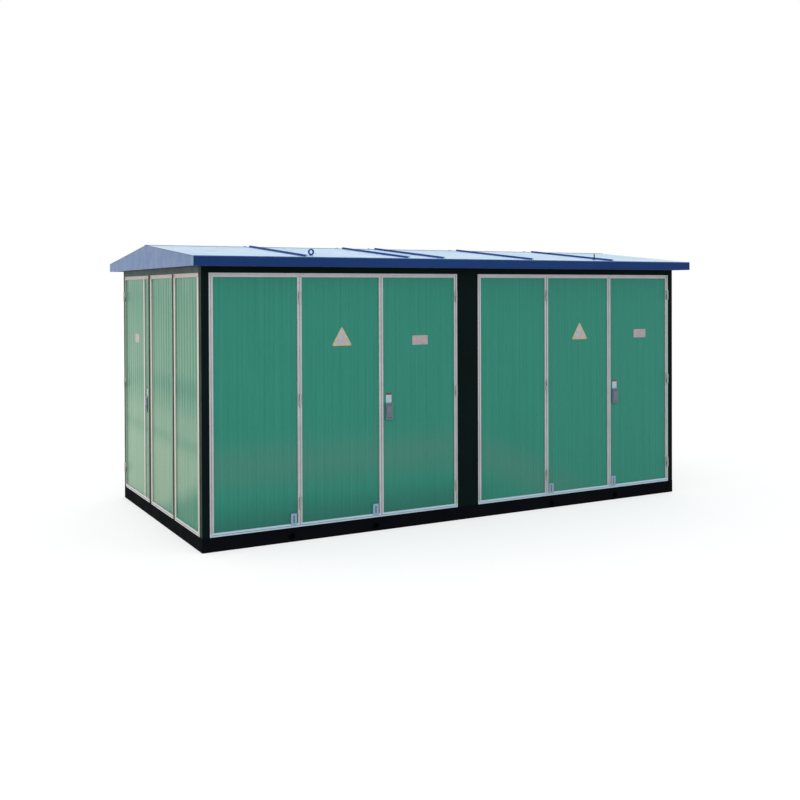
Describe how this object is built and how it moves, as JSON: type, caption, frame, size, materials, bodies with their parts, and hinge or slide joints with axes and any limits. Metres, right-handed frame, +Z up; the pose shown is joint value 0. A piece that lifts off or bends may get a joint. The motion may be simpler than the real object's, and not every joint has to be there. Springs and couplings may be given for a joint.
{
  "type": "compact substation housing",
  "caption": "Walk-round kiosk housing for a compact substation: steel base and posts, ribbed boards in aluminium rails, hinged leaves and a shallow gable roof.",
  "frame": {"origin": "on the ground under the middle of the roof's outline", "axes": "+Z up, the long front with the hinged leaves faces -Y, +X to the right seen from the front"},
  "size_m": [5.47, 2.956, 2.6381],
  "materials": {
    "dark_steel": "near-black satin paint",
    "floor_steel": "grey painted plate",
    "aluminium": "mill finish extrusion",
    "green_board": "sea-green ribbed board, matt",
    "hardware_dark": "black satin hinge paint",
    "hardware_bright": "brushed plate",
    "lock_grey": "mid-grey cast lock",
    "fascia_blue": "dark blue satin paint",
    "roof_blue": "pale blue coated sheet",
    "seam_blue": "dark blue coated sheet",
    "ceiling_grey": "light grey painted plate"
  },
  "bodies": {
    "housing": {"base_frame": "dark_steel", "corner_posts": "dark_steel", "front_pillar": "dark_steel", "rear_pillar": "dark_steel", "headers": "dark_steel", "end_strips": "dark_steel", "floor_plate": "floor_steel", "front_surrounds": "aluminium", "rear_surrounds": "aluminium", "end_surrounds": "aluminium", "panel_a_frame": "aluminium", "panel_d_frame": "aluminium", "rear_frames": "aluminium", "end_frames": "aluminium", "front_stops": "aluminium", "rear_stops": "aluminium", "end_stops": "aluminium", "panel_a_board": "green_board", "panel_d_board": "green_board", "rear_boards": "green_board", "end_boards": "green_board", "hinge_pins": "hardware_dark", "panel_a_bolt": "hardware_bright", "fascias": "fascia_blue", "gable_ends": "fascia_blue", "roof_front": "roof_blue", "roof_rear": "roof_blue", "ridge_cap": "roof_blue", "roof_seams": "seam_blue", "lifting_eyes": "seam_blue", "ceiling": "ceiling_grey"},
    "door_b": {"door_b_frame": "aluminium", "door_b_board": "green_board", "door_b_fittings": "hardware_dark", "door_b_bolt": "hardware_bright"},
    "door_c": {"door_c_frame": "aluminium", "door_c_board": "green_board", "door_c_fittings": "hardware_dark", "door_c_lock": "lock_grey"},
    "door_e": {"door_e_frame": "aluminium", "door_e_board": "green_board", "door_e_fittings": "hardware_dark", "door_e_bolt": "hardware_bright"},
    "door_f": {"door_f_frame": "aluminium", "door_f_board": "green_board", "door_f_fittings": "hardware_dark", "door_f_bolt": "hardware_bright", "door_f_lock": "lock_grey"},
    "end_door": {"end_door_frame": "aluminium", "end_door_board": "green_board", "end_door_fittings": "hardware_dark", "end_door_lock": "lock_grey"}
  },
  "joints": [
    {"name": "door_b_hinge", "type": "hinge", "parent": "housing", "child": "door_b", "pos_m": [-1.74033, -1.346, 1.234], "axis": [0, 0, -1], "range_deg": [0, 110]},
    {"name": "door_c_hinge", "type": "hinge", "parent": "housing", "child": "door_c", "pos_m": [-0.133, -1.346, 1.234], "axis": [0, 0, 1], "range_deg": [0, 110]},
    {"name": "door_e_hinge", "type": "hinge", "parent": "housing", "child": "door_e", "pos_m": [0.93567, -1.346, 1.234], "axis": [0, 0, -1], "range_deg": [0, 110]},
    {"name": "door_f_hinge", "type": "hinge", "parent": "housing", "child": "door_f", "pos_m": [2.543, -1.346, 1.234], "axis": [0, 0, 1], "range_deg": [0, 110]},
    {"name": "end_door_hinge", "type": "hinge", "parent": "housing", "child": "end_door", "pos_m": [-2.641, 1.248, 1.234], "axis": [0, 0, -1], "range_deg": [0, 110]}
  ]
}
